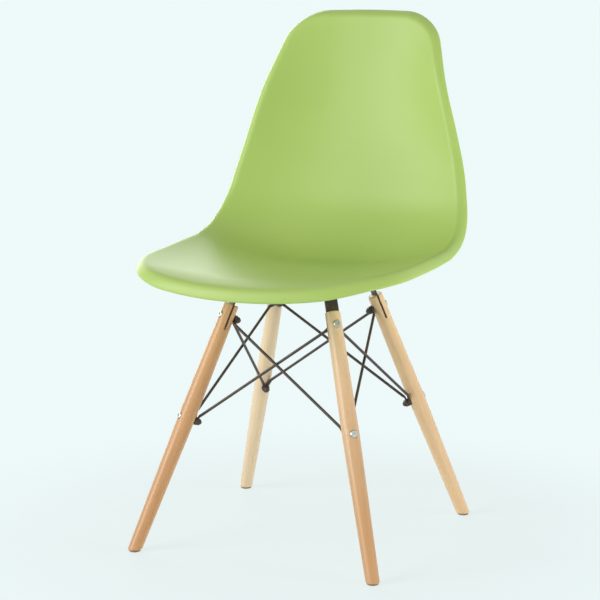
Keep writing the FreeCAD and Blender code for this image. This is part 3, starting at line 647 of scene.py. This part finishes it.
def pale_floor():
    finish = Finish(bpy.data.materials.new("pale_floor"))
    cloud = finish.noise(30, detail=2)
    tint = finish.ramp(cloud, (0.3, BACKGROUND[:3]), (0.7, tuple(c * 0.98 for c in BACKGROUND[:3])))
    plain = finish.node("ShaderNodeBsdfPrincipled", {}, Base_Color=tint, Roughness=0.9)
    glow = finish.node("ShaderNodeEmission", {}, Color=BACKGROUND, Strength=1.0)
    distance = finish.node("ShaderNodeVectorMath", {"operation": "LENGTH"}, finish.coordinates, out="Value")
    fade = finish.node("ShaderNodeMapRange", {"interpolation_type": "SMOOTHSTEP"}, Value=distance,
                       From_Min=FADE_START, From_Max=FADE_END)
    glowing = (fade * GLOW_GAIN + GLOW_NEAR) * shown(finish)
    return finish.end(finish.node("ShaderNodeMixShader", {}, glowing, plain, glow))


def floor_mesh(size=60.0, cells=40):
    """A flat square grid just under the feet: x and y run over the square, z is a hair below zero."""
    line = np.linspace(-size, size, cells + 1)
    x, y = np.meshgrid(line, line)
    points = np.column_stack((x.ravel(), y.ravel(), np.full(x.size, -0.0002)))
    index = np.arange(x.size).reshape(x.shape)
    quads = np.stack((index[:-1, :-1], index[:-1, 1:], index[1:, 1:], index[1:, :-1]), axis=-1)
    mesh = bpy.data.meshes.new("floor")
    mesh.from_pydata(points.tolist(), [], quads.reshape(-1, 4).tolist())
    return mesh


floor = bpy.data.objects.new("floor", floor_mesh())
bpy.context.collection.objects.link(floor)
dress(floor, pale_floor())


def studio_world():
    finish = Finish(bpy.data.worlds.new("studio"))
    room = finish.node("ShaderNodeBackground", {}, Color=(1, 1, 1, 1), Strength=ROOM_STRENGTH)
    backdrop = finish.node("ShaderNodeBackground", {}, Color=BACKGROUND, Strength=1.0)
    return finish.end(finish.node("ShaderNodeMixShader", {}, shown(finish), room, backdrop),
                      "ShaderNodeOutputWorld")


bpy.context.scene.world = studio_world()
print("floor faces", len(floor.data.polygons))


# %% [markdown]
# ## Lamps
# One wide lamp in front and to the left does most of the work, and two low ones at the sides shape the legs and
# the back. A sun would give hard shadows, and wide squares give soft ones. The right lamp isn't mirrored in glossy
# pieces, where it would leave a white glare on the seat.

# %% Lamps
def lamp(name, place, aim, size, watts, mirrored=True):
    """A square soft lamp at a place, facing a point. One that isn't mirrored leaves no glare on a glossy piece."""
    data = bpy.data.lights.new(name, "AREA")
    data.size, data.energy = size, watts
    thing = bpy.data.objects.new(name, data)
    thing.location = place
    thing.rotation_euler = (Vector(aim) - Vector(place)).to_track_quat("-Z", "Y").to_euler()
    thing.visible_glossy = mirrored
    bpy.context.collection.objects.link(thing)


lamp("front_lamp", (-3.6, -4.4, 2.3), (0, 0, 0.4), 3.5, 250)
lamp("left_lamp", (-3.0, 3.2, 0.9), (0, 0, 0.45), 3.4, 110)
lamp("right_lamp", (4.2, 0.2, 0.5), (0, 0, 0.4), 2.0, 140, mirrored=False)
print("lamps", len(bpy.data.lights))


# %% [markdown]
# ## Camera
# The view is from in front and a little to the chair's left, just above the seat, through a long lens, so upright
# lines stay nearly parallel. Its place was worked out from where the four feet and the leg bolts appear.

# %% Camera
AZIMUTH, ELEVATION, DISTANCE = math.radians(24.04), math.radians(9.588), 3.0077
AIM_HEIGHT = 0.400
FOCAL_PIXELS, FRAME_PIXELS, SENSOR = 1946.1, 600, 36
target = Vector((0, CENTRING * MM, AIM_HEIGHT))
back = Vector((math.sin(AZIMUTH) * math.cos(ELEVATION), -math.cos(AZIMUTH) * math.cos(ELEVATION),
               math.sin(ELEVATION)))
camera_data = bpy.data.cameras.new("camera")
camera_data.sensor_width = SENSOR
camera_data.lens = FOCAL_PIXELS / FRAME_PIXELS * SENSOR
camera_data.shift_x, camera_data.shift_y = -0.0069, -0.0297
camera = bpy.data.objects.new("camera", camera_data)
camera.location = target + back * DISTANCE
camera.rotation_euler = back.to_track_quat("Z", "Y").to_euler()
bpy.context.collection.objects.link(camera)
bpy.context.scene.camera = camera
print("lens", round(camera_data.lens, 1))


# %% [markdown]
# ## View
# The view stays plain, so colours show as written.

# %% View
bpy.context.scene.view_settings.view_transform = "Standard"
